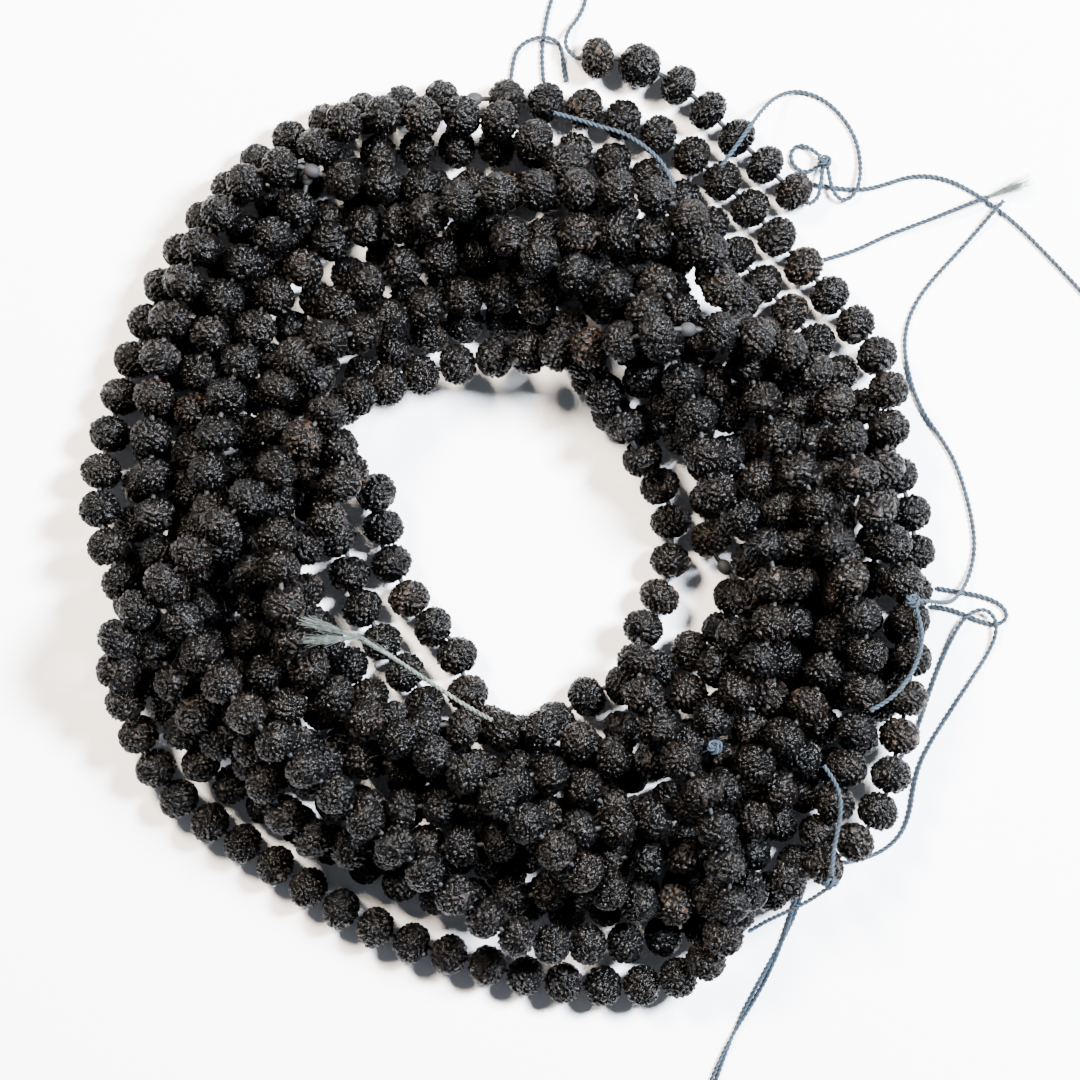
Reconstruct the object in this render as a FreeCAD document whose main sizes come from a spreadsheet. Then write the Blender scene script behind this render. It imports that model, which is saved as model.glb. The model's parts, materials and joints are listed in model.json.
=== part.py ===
import FreeCAD, Part
import Sketcher
import math
import os

# Six strings of rudraksha mala beads, 108 to a string, laid one over another in a round pile.
# +Z is up, the pile rests on Z = 0 and the origin is at the middle of its base.
# All lengths are in millimetres.

SIZES = [
    ("bead_diameter", 8.0),          # across the bead, square to its thread
    ("bead_length", 6.4),            # along the thread
    ("bead_bore", 1.7),              # drilled hole
    ("bead_gap", 0.95),              # bare thread between two beads, so that they clear where it bends
    ("large_bead_diameter", 8.6),    # the bigger, longer bead of the loose end
    ("large_bead_length", 8.1),
    ("thread_diameter", 0.9),
    ("lay_clearance", 0.2),          # air between beads of different turns
    ("knot_diameter", 2.6),          # knot that closes a string
    ("knot_length", 3.2),
    ("knot_slack", 0.8),             # bare thread on each side of that knot
    ("tail_knot_diameter", 3.2),     # knot that ties a tail to the pile
    ("tuft_diameter", 1.6),          # frayed end of a tail
]

BEADS_PER_STRING = 108

# Each string's closed route, seen from above, from its first bead to its knot.
# String 1 lies lowest and each later one is laid over those before it.
STRING_ROUTES = [
    [(43, -6), (40, 1), (37, 9), (34, 17), (29, 25), (21, 33), (14, 40), (5, 43), (-5, 44), (-14, 40),
     (-22, 33), (-29, 30), (-36, 25), (-40, 16), (-38, 5), (-32, -8), (-26, -21), (-18, -33), (-11, -47),
     (-6, -60), (8, -70), (29, -70), (50, -60), (65, -42), (71, -18), (70, 7), (61, 28), (49, 42),
     (38, 54), (29, 62), (18, 71), (3, 71), (-18, 70), (-38, 67), (-52, 56), (-60, 40), (-65, 24),
     (-67, 8), (-67, -8), (-67, -26), (-60, -38), (-50, -38), (-46, -26), (-48, -10), (-50, 2), (-46, 11),
     (-38, 13), (-32, 7), (-28, -1), (-23, -8), (-19, -14), (-16, -20), (-13, -26), (-9, -32), (-2, -38),
     (7, -37), (14, -34), (20, -32), (29, -29), (37, -27), (44, -20), (45, -13)],
    [(10, -60), (-9, -62), (-24, -56), (-38, -46), (-49, -33), (-54, -16), (-54, 3), (-50, 20), (-40, 34),
     (-25, 45), (-12, 50), (5, 51), (19, 50), (33, 42), (46, 29), (56, 14), (61, -3), (60, -20), (54, -36),
     (44, -52), (29, -64), (12, -68), (-7, -68), (-25, -64), (-42, -56), (-57, -42), (-65, -24), (-68, -4),
     (-67, 14), (-62, 32), (-55, 46), (-45, 56), (-34, 62), (-21, 66), (-7, 66), (5, 67), (15, 70),
     (24, 66), (27, 58), (21, 51), (15, 48), (10, 44), (22, 35), (34, 24), (43, 10), (49, -6), (51, -24),
     (44, -40), (28, -54)],
    [(-5, 80), (9, 81), (16, 79), (28, 69), (38, 58), (47, 46), (57, 36), (67, 26), (71, 13), (73, -4),
     (70, -20), (60, -33), (51, -49), (42, -62), (26, -72), (11, -72), (2, -64), (-10, -52), (-22, -45),
     (-40, -40), (-53, -23), (-57, -5), (-53, 14), (-45, 33), (-31, 42), (-16, 49), (3, 55), (20, 46),
     (34, 33), (46, 8), (49, -10), (43, -28), (32, -42), (16, -50), (-3, -52), (-22, -55), (-40, -48),
     (-61, -32), (-73, -14), (-77, 1), (-76, 15), (-68, 28), (-63, 46), (-53, 63), (-42, 70), (-29, 73),
     (-16, 77)],
    [(-42, 72), (-28, 78), (-14, 79), (-1, 75), (11, 64), (19, 50), (27, 35), (41, 17), (55, -1),
     (56, -18), (52, -38), (48, -52), (38, -60), (25, -60), (8, -50), (-4, -53), (-16, -60), (-30, -56),
     (-43, -40), (-52, -21), (-48, -5), (-38, 5), (-36, 14), (-42, 26), (-44, 38), (-38, 45), (-25, 45),
     (-14, 50), (1, 49), (14, 53), (31, 45), (49, 25), (59, 3), (62, -14), (56, -33), (46, -49), (34, -58),
     (18, -57), (2, -64), (-16, -62), (-35, -53), (-52, -37), (-61, -20), (-64, -1), (-64, 16), (-58, 33),
     (-52, 53)],
    [(-39, 70), (-23, 70), (-10, 60), (1, 52), (16, 44), (30, 29), (37, 15), (43, 2), (51, -11), (52, -18),
     (46, -31), (33, -40), (18, -49), (5, -42), (-10, -40), (-26, -39), (-38, -30), (-47, -17), (-54, 1),
     (-58, 18), (-55, 34), (-49, 48), (-41, 57), (-27, 60), (-12, 57), (-3, 53), (11, 60), (19, 60),
     (32, 50), (41, 34), (49, 20), (57, 8), (63, -6), (65, -21), (63, -36), (58, -51), (47, -68),
     (31, -74), (16, -77), (0, -74), (-12, -64), (-21, -53), (-35, -48), (-52, -42), (-64, -25), (-66, -7),
     (-65, 13), (-62, 27), (-61, 44), (-57, 57), (-51, 64)],
    [(34, 40), (47, 39), (56, 28), (63, 17), (70, 4), (74, -12), (72, -27), (66, -41), (60, -57),
     (46, -70), (25, -72), (13, -63), (1, -52), (-13, -46), (-28, -40), (-42, -29), (-50, -13), (-49, 4),
     (-46, 22), (-42, 32), (-34, 38), (-19, 42), (-6, 48), (2, 49), (15, 41), (23, 26), (28, 10), (30, -4),
     (29, -12), (23, -25), (27, -38), (37, -52), (41, -68), (37, -81), (22, -88), (8, -84), (-1, -82),
     (-9, -79), (-16, -80), (-25, -79), (-40, -67), (-56, -55), (-70, -41), (-74, -27), (-65, -15),
     (-54, -2), (-42, 9), (-33, 21), (-22, 31), (-14, 37), (-7, 39), (0, 38), (6, 35), (14, 31), (21, 34)],
]

# The loose end: seven beads on a thread of their own on the floor beside string 3.
LOOSE_ROUTE = [(10, 87), (20, 87), (31, 82), (37, 76), (43, 70), (49, 64), (56, 59)]
LOOSE_BEADS = 7
LARGE_BEAD = 1              # place of the large bead in the loose end, counted from 0

# Loose threads outside the strings, as the points they run through. The beads below them are
# laid first; a thread's points lie on the floor, on those beads or hang down the pile's side.
THREADS = [
    ("top_loop", [(12.9, 86.6, 4.0), (10.6, 88.2, 3.6), (10.8, 91.6, 2.0), (13.2, 94.6, 0.6),
                  (14.8, 98.4, 0.5), (13.4, 102.0, 0.5), (9.8, 101.8, 0.5), (8.0, 98.0, 0.5),
                  (7.0, 94.0, 0.5), (6.4, 90.0, 0.5), (6.2, 86.4, 0.5), (6.6, 82.6, 0.5)]),
    ("small_loop", [(0.4, 82.8, 0.5), (0.8, 86.4, 0.5), (1.8, 89.0, 0.6), (4.2, 90.6, 1.2), (7.0, 91.0, 1.6),
                    (9.4, 90.0, 1.0), (10.2, 87.6, 0.6), (10.2, 85.4, 0.5), (10.8, 82.6, 0.5)]),
    ("cross_thread", [(8.5, 76.0, 9.0), (12.5, 75.0, 8.6), (17.0, 73.5, 8.6), (21.0, 72.5, 8.6),
                      (24.5, 70.5, 8.6), (27.5, 68.0, 8.8), (29.5, 65.5, 9.0), (31.0, 62.0, 9.0)]),
    ("slack_loop", [(39.5, 66.0, 9.4), (42.4, 69.8, 9.2), (45.0, 73.6, 8.4), (47.6, 77.2, 5.6),
                    (50.6, 80.0, 2.2), (54.4, 81.0, 0.5), (58.8, 79.6, 0.5), (62.4, 76.4, 0.5),
                    (65.0, 72.4, 0.5), (66.0, 68.2, 0.6), (66.0, 64.6, 1.5), (65.0, 61.4, 1.7),
                    (62.8, 60.0, 1.4), (60.9, 61.6, 1.7), (60.2, 64.2, 1.8), (59.8, 66.4, 1.6)]),
    ("end_bead_tail", [(56.2, 59.4, 4.0), (57.8, 60.2, 3.4), (58.4, 62.6, 2.6), (58.7, 65.0, 2.0),
                       (59.0, 66.6, 1.8)]),
    ("tangle_loop", [(58.4, 68.6, 1.6), (56.6, 70.2, 1.0), (54.6, 70.8, 0.6), (53.0, 69.6, 0.5),
                     (53.0, 67.6, 0.5), (54.4, 66.0, 0.5), (56.0, 65.6, 0.6), (57.4, 66.2, 1.0),
                     (58.4, 67.0, 1.5)]),
    ("long_tail", [(56.4, 63.4, 0.5), (59.6, 63.0, 0.5), (63.2, 62.4, 0.5), (67.2, 62.4, 0.5),
                   (71.0, 63.4, 0.5), (75.0, 64.8, 0.5), (79.4, 65.0, 0.5), (83.6, 63.8, 0.5),
                   (87.6, 61.6, 0.5), (91.4, 59.0, 0.5), (95.6, 55.6, 0.5), (99.8, 51.4, 0.5),
                   (104.2, 46.8, 0.5), (108.6, 42.0, 0.5), (112.6, 37.6, 0.5)]),
    ("frayed_tail", [(59.2, 49.2, 0.5), (62.0, 50.0, 0.5), (65.2, 51.0, 0.5), (68.2, 52.4, 0.6),
                     (71.4, 53.9, 0.8), (75.0, 55.2, 1.1), (78.8, 56.6, 1.4), (82.6, 58.1, 1.7),
                     (86.4, 59.6, 2.0), (89.6, 60.8, 2.3)]),
    ("right_tail", [(92.8, 60.2, 1.7), (90.4, 57.6, 1.6), (87.6, 54.2, 0.8), (84.2, 50.4, 0.5),
                    (80.4, 46.4, 0.5), (77.0, 42.2, 0.5), (74.8, 37.6, 0.5), (74.2, 32.8, 0.5),
                    (75.0, 28.2, 0.5), (76.2, 24.0, 0.5), (78.2, 19.8, 0.5), (81.0, 16.0, 0.5),
                    (83.6, 11.8, 0.5), (85.4, 6.8, 0.5), (86.8, 1.4, 0.5), (87.6, -4.2, 0.5),
                    (86.8, -9.2, 0.8), (85.2, -12.6, 2.4), (83.4, -14.4, 5.6), (81.8, -15.0, 9.4),
                    (80.2, -15.0, 13.2), (78.4, -14.8, 16.2), (75.6, -14.6, 17.3)]),
    ("side_loop", [(80.4, -12.4, 0.5), (83.2, -12.9, 0.5), (86.4, -13.4, 0.5), (89.8, -14.2, 0.5),
                   (92.6, -15.6, 0.5), (93.8, -17.8, 0.5), (92.0, -19.4, 0.5), (88.8, -18.8, 0.5),
                   (85.6, -17.4, 0.5), (82.4, -16.2, 0.5), (79.2, -15.8, 0.5)]),
    ("long_loop", [(70.6, -48.0, 0.5), (73.6, -44.4, 0.5), (76.0, -40.6, 0.5), (77.6, -36.4, 0.5),
                   (79.0, -32.0, 0.5), (80.6, -27.6, 0.5), (82.4, -23.4, 0.8), (84.2, -19.8, 1.6),
                   (86.4, -17.0, 1.7), (89.4, -16.2, 1.7), (91.4, -18.2, 1.7), (91.4, -21.4, 1.3),
                   (89.8, -25.0, 0.5), (87.2, -29.0, 0.5), (84.6, -33.0, 0.5), (82.0, -37.0, 0.5),
                   (79.4, -41.0, 0.5), (77.2, -45.2, 0.5), (76.0, -49.8, 0.5), (75.4, -54.4, 0.5),
                   (73.8, -58.6, 0.5), (70.6, -61.6, 0.5), (66.6, -63.2, 0.5), (62.6, -64.0, 0.5),
                   (59.2, -64.2, 0.5)]),
    ("edge_thread_1", [(75.1, -15.7, 17.0), (76.1, -18.8, 17.0), (76.4, -22.0, 16.8),
                       (75.6, -25.4, 16.8), (74.0, -28.6, 17.2), (71.8, -31.4, 18.0),
                       (69.2, -33.4, 18.8), (66.6, -34.8, 19.2)]),
    ("edge_thread_2", [(58.2, -45.0, 17.0), (60.4, -48.0, 17.2), (61.4, -51.4, 16.8),
                       (61.2, -55.0, 16.6), (60.4, -58.6, 17.0), (59.8, -62.0, 17.6),
                       (59.6, -65.4, 17.8)]),
    ("knot_tail", [(58.9, -67.5, 17.1), (56.2, -69.6, 15.6), (53.4, -71.2, 14.0), (50.4, -72.8, 12.0),
                   (47.4, -74.4, 10.2), (44.6, -76.2, 9.4)]),
    ("bottom_tail", [(54.8, -69.4, 0.5), (53.8, -72.6, 0.5), (52.4, -76.4, 0.5), (50.6, -80.4, 0.5),
                     (48.4, -84.8, 0.5), (45.8, -89.6, 0.5), (43.0, -94.4, 0.5), (40.6, -99.4, 0.5),
                     (38.6, -104.4, 0.5), (37.0, -109.0, 0.5)]),
    ("lay_tail", [(-3.0, -36.6, 16.4), (-6.4, -34.8, 16.0), (-10.0, -32.6, 15.4), (-13.6, -30.2, 15.4),
                  (-17.2, -27.8, 16.4), (-20.6, -25.4, 18.6), (-24.0, -23.2, 21.6),
                  (-27.2, -21.2, 25.0)]),
]

# Knots that tie loose threads, as their middle and the way that they point.
TAIL_KNOTS = [
    ("tangle_knot", (59.2, 67.6, 1.7), (1, 0.6, 0)),
    ("edge_knot", (74.6, -14.6, 17.0), (1, -0.3, 0)),
    ("low_knot", (59.6, -66.6, 17.4), (0.5, 1, 0)),
    ("thread_ball", (38.2, -41.6, 15.4), (0.3, 1, 0)),
]

# Frayed ends, from the thread's end to the tip of their fibres.
TUFTS = [
    ("frayed_tuft", (89.6, 60.8, 2.3), (98.4, 64.2, 3.0)),
    ("lay_tuft_1", (-27.2, -21.2, 25.0), (-38.0, -17.6, 31.6)),
    ("lay_tuft_2", (-27.2, -21.2, 25.0), (-37.4, -21.8, 31.8)),
]

# Single beads that can turn: string 6 has its run across the hole, string 5 two at the hole's edge.
# Each entry gives the string, the beads' name and their places on it, counted from 0.
FREE_RUN = (6, "run_bead", range(53, 61))
INNER_EDGE = (5, "edge_bead", range(28, 30))

# How the strings are laid: they drop, push each other aside and come to rest.
ROUTE_PITCH = 7.35          # spacing of the beads that the routes were drawn for
ROUTE_STEP = 1.0            # spacing of the samples along a route
DROP_ROUNDS = 150           # rounds in which one string drops on those below it
REST_ROUNDS = 900           # rounds in which all of them come to rest together
QUIET_SHARE = 0.7           # after this share of the rounds nothing pulls or falls
ROUTE_PULL = [0.04, 0.02, 0.02, 0.03, 0.05, 0.06, 0.02]
BEND_LIMIT = 19.0           # half the angle that one gap can bend, in degrees

# How threads turn: every corner of a path is an arc between straight runs.
STRAIGHT_ENOUGH = math.radians(0.2)     # half turns below this are left out
RUN_SHARE = 0.45                        # share of the shorter run that an arc takes
KNOT_OVERLAP = 0.25         # where a closed thread's ends lie in its knot, as a share of its length
IN_BEAD_REACH = 0.5         # with this limit a thread's arcs stay clear of the bores' walls


def make_sheet(doc):
    sheet = doc.addObject("Spreadsheet::Sheet", "sizes")
    for row, (alias, value) in enumerate(SIZES, start=1):
        sheet.set("A%d" % row, alias)
        sheet.set("B%d" % row, str(value))
        sheet.setAlias("B%d" % row, alias)
    doc.recompute()
    return sheet


def smooth_route(points, step, closed):
    """Samples of a round curve through the points of a route."""
    if closed:
        chain = [points[-1]] + points + points[:2]
    else:
        chain = [points[0], *points, points[-1]]
        chain[0] = tuple(2 * near - far for near, far in zip(points[0], points[1]))
        chain[-1] = tuple(2 * near - far for near, far in zip(points[-1], points[-2]))
    samples = []
    for corners in zip(chain, chain[1:], chain[2:], chain[3:]):
        knots = [0.0]
        for near, far in zip(corners, corners[1:]):
            knots.append(knots[-1] + math.sqrt(math.dist(near, far)))
        pieces = max(2, int(math.dist(corners[1], corners[2]) / step))
        for piece in range(pieces):
            at = knots[1] + (knots[2] - knots[1]) * piece / pieces
            samples.append(curve_point(corners, knots, at))
    return samples


def curve_point(corners, knots, at):
    """One point of the curve between the two middle corners."""
    spans = [
        [(knots[0], knots[1]), (knots[1], knots[2]), (knots[2], knots[3])],
        [(knots[0], knots[2]), (knots[1], knots[3])],
        [(knots[1], knots[2])],
    ]
    level = list(corners)
    for order in spans:
        blended = []
        for index, (low, high) in enumerate(order):
            share = (at - low) / (high - low)
            pair = zip(level[index], level[index + 1])
            blended.append(tuple((1 - share) * first + share * second for first, second in pair))
        level = blended
    return level[0]


def middle(first, second):
    return tuple((a + b) / 2 for a, b in zip(first, second))


def set_length(first, second, length):
    """Moves two points along their line until they are so far apart."""
    apart = math.dist(first, second)
    share = (apart - length) / apart / 2
    for axis in range(3):
        shift = (second[axis] - first[axis]) * share
        first[axis] += shift
        second[axis] -= shift


def keep_apart(first, second, least):
    """Moves two points half of the way that they lack to be so far apart."""
    apart = math.dist(first, second)
    if apart < least:
        set_length(first, second, (apart + least) / 2)


class StringLay:
    """One string: the points between its beads and the route that they keep to."""

    def __init__(self, route, size, lengths, radii, closed=True):
        scale = size["pitch"] / ROUTE_PITCH
        drawn = [(x * scale, y * scale) for x, y in route]
        self.route = smooth_route(drawn, ROUTE_STEP, closed)
        self.size = size
        self.lengths = lengths
        self.radii = radii
        self.closed = closed
        self.points = []
        self.spots = []
        self.spread_evenly()

    def spread_evenly(self):
        """Points shared out evenly along the route, with the knot's gap at its start."""
        route = self.route
        count = len(route)
        walked = [0.0]
        for index in range(count if self.closed else count - 1):
            walked.append(walked[-1] + math.dist(route[index], route[(index + 1) % count]))
        distance = self.size["knot_gap"] / 2 if self.closed else 0.0
        scale = walked[-1] / (sum(self.lengths) + 2 * distance)
        spot = 0
        for length in [0.0] + self.lengths:
            distance += length
            while spot + 2 < len(walked) and walked[spot + 1] < distance * scale:
                spot += 1
            share = (distance * scale - walked[spot]) / (walked[spot + 1] - walked[spot])
            start = route[spot]
            end = route[(spot + 1) % count]
            self.points.append([start[0] + (end[0] - start[0]) * share,
                                start[1] + (end[1] - start[1]) * share, self.size["radius"]])
            self.spots.append(spot)

    def centres(self):
        return [middle(first, second) for first, second in zip(self.points, self.points[1:])]

    def lift_over(self, laid):
        """Starting heights over the beads already laid and over the string's own earlier turn."""
        reach = self.size["reach"]
        heights = []
        for x, y, _ in self.points:
            top = self.size["radius"]
            for other in laid:
                if (x - other[0]) ** 2 + (y - other[1]) ** 2 < 1.2 * reach * reach:
                    top = max(top, other[2] + 0.9 * reach)
            heights.append(top)
        count = len(heights)
        for _ in range(6):
            heights = [max(heights[index], (heights[index - 1] + heights[(index + 1) % count]) / 2)
                       for index in range(count)]
        for point, height in zip(self.points, heights):
            point[2] = height
        for late in range(count):
            for early in range(late - 3):
                self.lift_crossing(late, early)

    def lift_crossing(self, late, early):
        reach = self.size["reach"]
        count = len(self.points)
        over = self.points[late]
        under = self.points[early]
        if late - early >= count - 4 or math.dist(over[:2], under[:2]) >= 0.75 * reach:
            return
        if over[2] >= under[2] + 0.9 * reach:
            return
        for shift in range(-3, 4):
            if 0 <= late + shift < count:
                raised = under[2] + 0.95 * reach - abs(shift)
                self.points[late + shift][2] = max(self.points[late + shift][2], raised)

    def fall_and_pull(self, fall, pull):
        """Lets every point fall a little and draws it sideways towards its route."""
        route = self.route
        count = len(route)
        for index, point in enumerate(self.points):
            point[2] -= fall
            if pull == 0.0:
                continue
            near = range(self.spots[index] - 2, self.spots[index] + 3)
            if not self.closed:
                near = [spot for spot in near if 0 <= spot < count - 1]
            spot = min(near, key=lambda at: math.dist(route[at % count], point[:2]))
            self.spots[index] = spot
            start = route[spot % count]
            end = route[(spot + 1) % count]
            step = math.dist(start, end)
            along = ((end[0] - start[0]) / step, (end[1] - start[1]) / step)
            aside = (start[0] - point[0], start[1] - point[1])
            slide = aside[0] * along[0] + aside[1] * along[1]
            point[0] += (aside[0] - slide * along[0]) * pull
            point[1] += (aside[1] - slide * along[1]) * pull

    def hold_together(self, rounds):
        """Keeps beads their length, gaps within their bend and everything on the floor."""
        points = self.points
        bend = math.cos(math.radians(BEND_LIMIT))
        for turn in range(rounds):
            for number in range(len(points) - 2):
                least = (self.lengths[number] + self.lengths[number + 1]) * bend
                keep_apart(points[number], points[number + 2], least)
            if self.closed:
                least = (self.lengths[0] + self.size["knot_gap"]) * bend
                keep_apart(points[-1], points[1], least)
                keep_apart(points[-2], points[0], least)
            self.set_pitch(backwards=turn % 2 == 0)
            if self.closed:
                set_length(points[-1], points[0], self.size["knot_gap"])
            for point in points:
                point[2] = max(point[2], self.size["radius"])

    def set_pitch(self, backwards):
        numbers = range(len(self.lengths))
        for number in reversed(numbers) if backwards else numbers:
            set_length(self.points[number], self.points[number + 1], self.lengths[number])


def push_apart(lays, fixed, size):
    """Moves beads that overlap away from each other, and an upper string's off a lower's."""
    cell_side = 2 * size["large_radius"] + size["clearance"]
    balls = []
    cells = {}
    for level, lay in enumerate(lays):
        for number, centre in enumerate(lay.centres()):
            cell = (int(centre[0] // cell_side), int(centre[1] // cell_side))
            cells.setdefault(cell, []).append(len(balls))
            balls.append((centre, level, number, lay))
    moves = [[0.0, 0.0, 0.0] for _ in balls]
    for (column, row), members in cells.items():
        for across, along in ((0, 0), (1, 0), (0, 1), (1, 1), (1, -1)):
            others = cells.get((column + across, row + along), ())
            for place, first in enumerate(members):
                rest = others[place + 1:] if (across, along) == (0, 0) else others
                for second in rest:
                    part_pair(balls[first], balls[second], moves[first], moves[second],
                              size["clearance"])
    for (centre, level, number, lay), move in zip(balls, moves):
        if fixed(level):
            continue
        for axis in range(3):
            shift = 0.7 * max(-0.8, min(0.8, move[axis]))
            lay.points[number][axis] += shift
            lay.points[number + 1][axis] += shift


def part_pair(first, second, first_move, second_move, clearance):
    (x, y, z), level, number, lay = first
    (other_x, other_y, other_z), other_level, other_number, other_lay = second
    reach = lay.radii[number] + other_lay.radii[other_number] + clearance
    dx = x - other_x
    dy = y - other_y
    flat = dx * dx + dy * dy
    if flat >= reach * reach:
        return
    dz = z - other_z
    near = level == other_level and abs(number - other_number) < 4
    if near and abs(number - other_number) < 2:
        return
    way = 1 if (level, number) > (other_level, other_number) else -1
    if dz * way < 0.3 and not near:
        flat = math.sqrt(flat) or 0.001
        if reach - flat < 1.0:
            share = (reach - flat) / flat / 2
            push = (dx * share, dy * share, 0.0)
        else:
            push = (0.0, 0.0, min(1.6, 1.0 - dz * way) / 2 * way)
        add_push(first_move, second_move, push)
        return
    apart = math.sqrt(flat + dz * dz)
    if 0.0 < apart < reach:
        share = (reach - apart) / apart / 2
        add_push(first_move, second_move, (dx * share, dy * share, dz * share))


def add_push(first_move, second_move, push):
    for axis in range(3):
        first_move[axis] += push[axis]
        second_move[axis] -= push[axis]


def lay_strings(size):
    """The six strings and the loose end at rest, each as the points between its beads."""
    lengths = [size["pitch"]] * BEADS_PER_STRING
    radii = [size["radius"]] * BEADS_PER_STRING
    lays = []
    laid = []
    for route in STRING_ROUTES:
        lay = StringLay(route, size, lengths, radii)
        lay.lift_over(laid)
        lays.append(lay)
        newest = len(lays) - 1
        for turn in range(DROP_ROUNDS):
            share = turn / DROP_ROUNDS
            lay.fall_and_pull(0.3 * (1 - share), 0.1 * (1 - share))
            push_apart(lays, lambda level: level < newest, size)
            lay.hold_together(2)
        laid.extend(lay.centres())
    lengths = [size["pitch"]] * LOOSE_BEADS
    lengths[LARGE_BEAD] = size["large_pitch"]
    radii = [size["radius"]] * LOOSE_BEADS
    radii[LARGE_BEAD] = size["large_radius"]
    lays.append(StringLay(LOOSE_ROUTE, size, lengths, radii, closed=False))
    for turn in range(REST_ROUNDS):
        left = max(0.0, 1 - turn / REST_ROUNDS / QUIET_SHARE)
        for lay, pull in zip(lays, ROUTE_PULL):
            lay.fall_and_pull(0.25 * left, pull * left)
        push_apart(lays, lambda level: False, size)
        for lay in lays:
            lay.hold_together(2)
    for lay in lays:
        for turn in range(80):
            lay.set_pitch(backwards=turn % 2 == 0)
    return [[tuple(point) for point in lay.points] for lay in lays]


def lay_sizes(sheet):
    """The sheet's sizes and those that follow from them, for laying the strings."""
    size = {alias: float(sheet.get(alias)) for alias, _ in SIZES}
    size["radius"] = size["bead_diameter"] / 2
    size["pitch"] = size["bead_length"] + size["bead_gap"]
    size["large_radius"] = size["large_bead_diameter"] / 2
    size["large_pitch"] = size["large_bead_length"] + size["bead_gap"]
    size["clearance"] = size["lay_clearance"]
    size["reach"] = size["bead_diameter"] + size["lay_clearance"]
    size["knot_gap"] = size["knot_length"] + 2 * size["knot_slack"]
    return size


def centre_pile(strings, size):
    """Moves all strings alike, so that the pile's middle comes over the origin."""
    shifts = []
    for axis in (0, 1):
        ends = []
        for points in strings:
            for first, second in zip(points, points[1:]):
                along = (second[axis] - first[axis]) / math.dist(first, second)
                reach = bead_reach(size, along)
                centre = (first[axis] + second[axis]) / 2
                ends += [centre - reach, centre + reach]
        shifts.append(-(min(ends) + max(ends)) / 2)
    return [[(x + shifts[0], y + shifts[1], z) for x, y, z in points] for points in strings]


def bead_reach(size, along):
    """How far a bead reaches from its centre in a direction, given their cosine."""
    wall, swell, bulge = bead_arc(size, "bead_diameter", "bead_length")
    return swell * math.sqrt(max(0.0, 1 - along * along)) + bulge


def bead_arc(size, diameter, length):
    """Bore wall, arc centre and arc radius of a bead's section, from its axis."""
    wall = size["bead_bore"] / 2
    rise = size[diameter] / 2 - wall
    half = size[length] / 2
    bulge = (rise * rise + half * half) / (2 * rise)
    return wall, wall + rise - bulge, bulge


def add_bead(doc, name, size, diameter, length, ends):
    """One bead: an arc turned about the drilled hole, placed between two points."""
    body = doc.addObject("PartDesign::Body", name)
    body.Label = name
    sketch = body.newObject("Sketcher::SketchObject", name + "_section")
    plane = [feature for feature in body.Origin.OriginFeatures if feature.Role == "XZ_Plane"][0]
    sketch.AttachmentSupport = [(plane, "")]
    sketch.MapMode = "FlatFace"
    wall, swell, bulge = bead_arc(size, diameter, length)
    half = size[length] / 2
    turn = math.atan2(half, wall - swell)
    circle = Part.Circle(FreeCAD.Vector(swell, 0, 0), FreeCAD.Vector(0, 0, 1), bulge)
    side = sketch.addGeometry(Part.ArcOfCircle(circle, -turn, turn), False)
    top = FreeCAD.Vector(wall, half, 0)
    bottom = FreeCAD.Vector(wall, -half, 0)
    hole = sketch.addGeometry(Part.LineSegment(top, bottom), False)
    sketch.addConstraint(Sketcher.Constraint("Coincident", side, 2, hole, 1))
    sketch.addConstraint(Sketcher.Constraint("Coincident", hole, 2, side, 1))
    sketch.addConstraint(Sketcher.Constraint("Vertical", hole))
    sketch.addConstraint(Sketcher.Constraint("PointOnObject", side, 3, -1))
    wall_at = sketch.addConstraint(Sketcher.Constraint("DistanceX", -1, 1, hole, 1, wall))
    long_at = sketch.addConstraint(Sketcher.Constraint("DistanceY", hole, 2, hole, 1, 2 * half))
    bulge_at = sketch.addConstraint(Sketcher.Constraint("Radius", side, bulge))
    rise = "(<<sizes>>.%s / 2 - <<sizes>>.bead_bore / 2)" % diameter
    half_text = "(<<sizes>>.%s / 2)" % length
    sketch.setExpression("Constraints[%d]" % wall_at, "<<sizes>>.bead_bore / 2")
    sketch.setExpression("Constraints[%d]" % long_at, "<<sizes>>.%s" % length)
    sketch.setExpression("Constraints[%d]" % bulge_at,
                         "(%s ^ 2 + %s ^ 2) / (2 * %s)" % (rise, half_text, rise))
    solid = body.newObject("PartDesign::Revolution", name + "_seed")
    solid.Profile = sketch
    solid.ReferenceAxis = (sketch, ["V_Axis"])
    solid.Angle = 360.0
    sketch.Visibility = False
    body.Placement = between(*ends)
    return body


def between(start, end):
    """A place midway between two points, with its Z axis from the first to the second."""
    start = FreeCAD.Vector(*start)
    end = FreeCAD.Vector(*end)
    return FreeCAD.Placement((start + end) / 2, FreeCAD.Rotation(FreeCAD.Vector(0, 0, 1), end - start))


def add_shape(doc, name, shape):
    feature = doc.addObject("Part::Feature", name)
    feature.Label = name
    feature.Shape = shape
    return feature


def add_beads(doc, name, seed, gaps):
    """Copies of a bead's shape between the listed pairs of points."""
    copies = [seed.transformed(between(*ends).toMatrix(), True) for ends in gaps]
    return add_shape(doc, name, Part.makeCompound(copies))


def add_knot(doc, name, width, ends):
    """A knot as an egg, as long and as wide as the named sizes."""
    knot = doc.addObject("Part::Ellipsoid", name)
    knot.Label = name
    knot.setExpression("Radius1", "<<sizes>>.knot_length / 2")
    knot.setExpression("Radius2", "<<sizes>>.%s / 2" % width)
    knot.setExpression("Radius3", "<<sizes>>.%s / 2" % width)
    knot.Placement = between(*ends)
    return knot


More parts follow.
